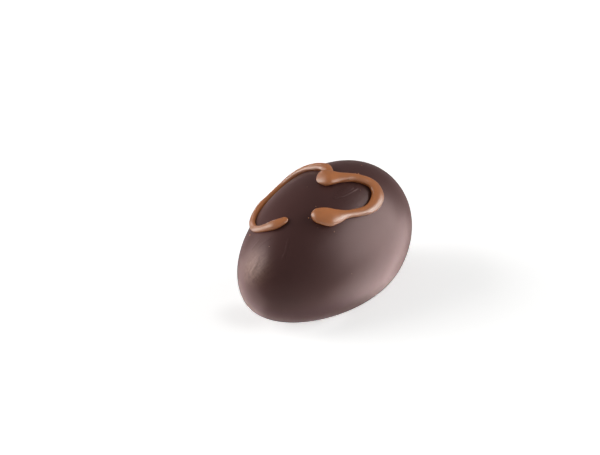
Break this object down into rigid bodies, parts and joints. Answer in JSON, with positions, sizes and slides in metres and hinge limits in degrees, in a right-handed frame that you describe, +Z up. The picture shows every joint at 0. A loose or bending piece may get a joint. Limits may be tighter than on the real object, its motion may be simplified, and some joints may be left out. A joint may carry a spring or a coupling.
{
  "type": "chocolate coated marzipan egg",
  "caption": "Whole marzipan egg in a smooth dark chocolate coat with a piped milk chocolate swirl, flat underneath so that it lies on its side.",
  "frame": {"origin": "centre of the bounding box in X and Y, on the resting face", "axes": "X along the egg with the pointed end at -X and the broad end at +X, Z up from the resting face through the crown that carries the swirl"},
  "size_m": [0.05, 0.029, 0.03],
  "materials": {
    "dark_chocolate": "satin dark chocolate",
    "milk_chocolate": "satin milk chocolate"
  },
  "bodies": {
    "root": {"egg": "dark_chocolate"}
  },
  "joints": []
}
